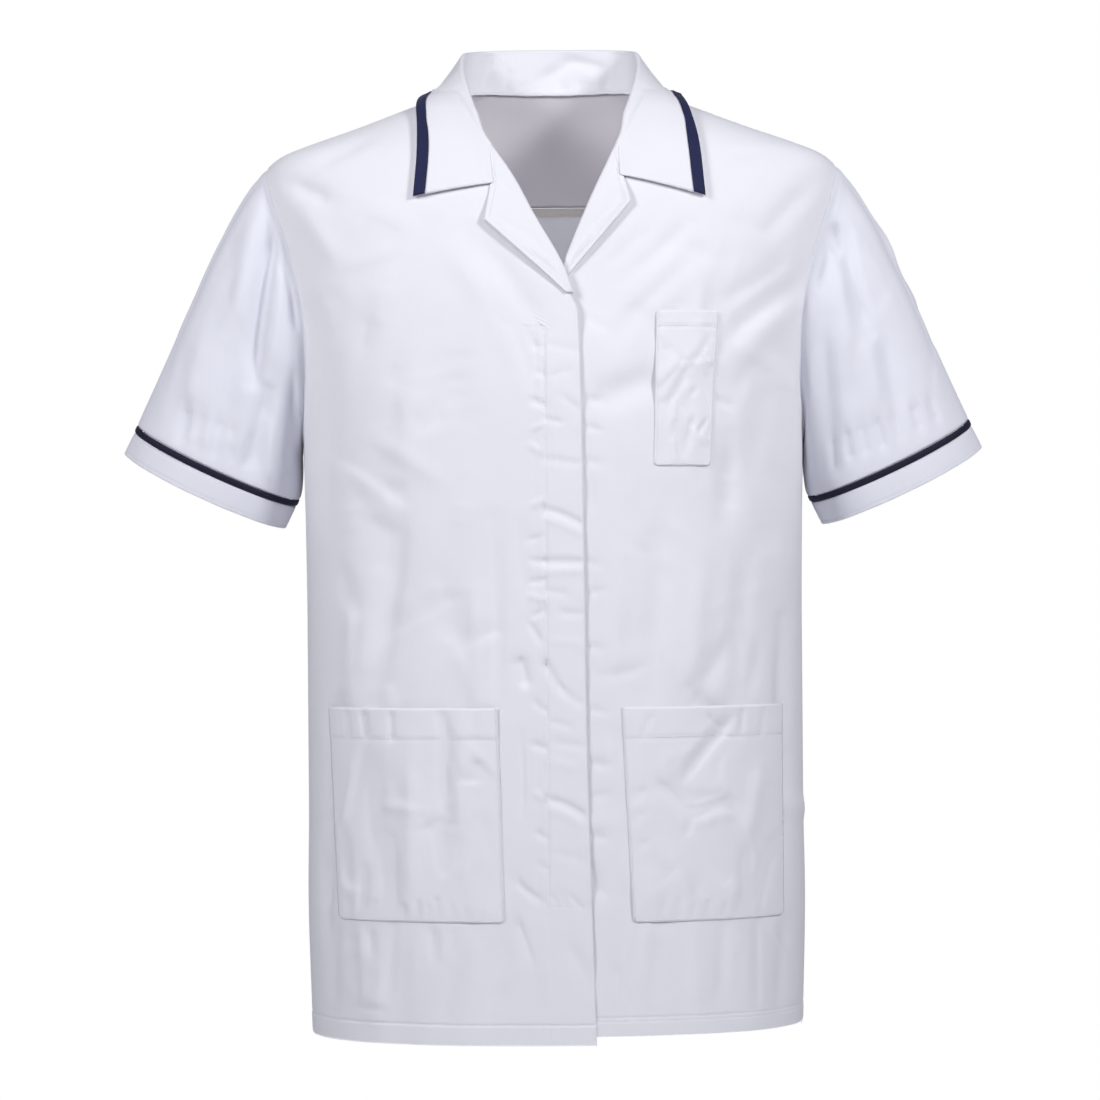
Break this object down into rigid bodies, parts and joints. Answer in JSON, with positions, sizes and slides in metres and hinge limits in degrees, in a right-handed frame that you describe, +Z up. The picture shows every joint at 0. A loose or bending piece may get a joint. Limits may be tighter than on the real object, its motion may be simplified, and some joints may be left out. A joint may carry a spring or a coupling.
{
  "type": "medical tunic",
  "caption": "White short-sleeve medical tunic, filled out, with a navy-taped revere collar, concealed front fastening, patch pockets and navy piping on the sleeves.",
  "frame": {"origin": "middle of the neck base, level with the points where the shoulder seams meet the collar", "axes": "+Z up, -Y towards the wearer's front, -X towards the wearer's right"},
  "size_m": [0.708, 0.2515, 0.8161],
  "materials": {
    "white_cloth": "matt plain-weave poly-cotton",
    "navy_trim": "matt navy tape",
    "overlock": "beige overlocked edge"
  },
  "bodies": {
    "root": {"front_right": "white_cloth", "front_left": "white_cloth", "back": "white_cloth", "back_yoke": "white_cloth", "fly_strip": "white_cloth", "sleeve_right": "white_cloth", "sleeve_left": "white_cloth", "cuff_right": "white_cloth", "cuff_left": "white_cloth", "collar": "white_cloth", "lapel_right": "white_cloth", "lapel_left": "white_cloth", "pen_pocket": "white_cloth", "pocket_right": "white_cloth", "pocket_left": "white_cloth", "piping_right": "navy_trim", "piping_left": "navy_trim", "collar_tape": "navy_trim", "yoke_seam_strip": "overlock"}
  },
  "joints": []
}
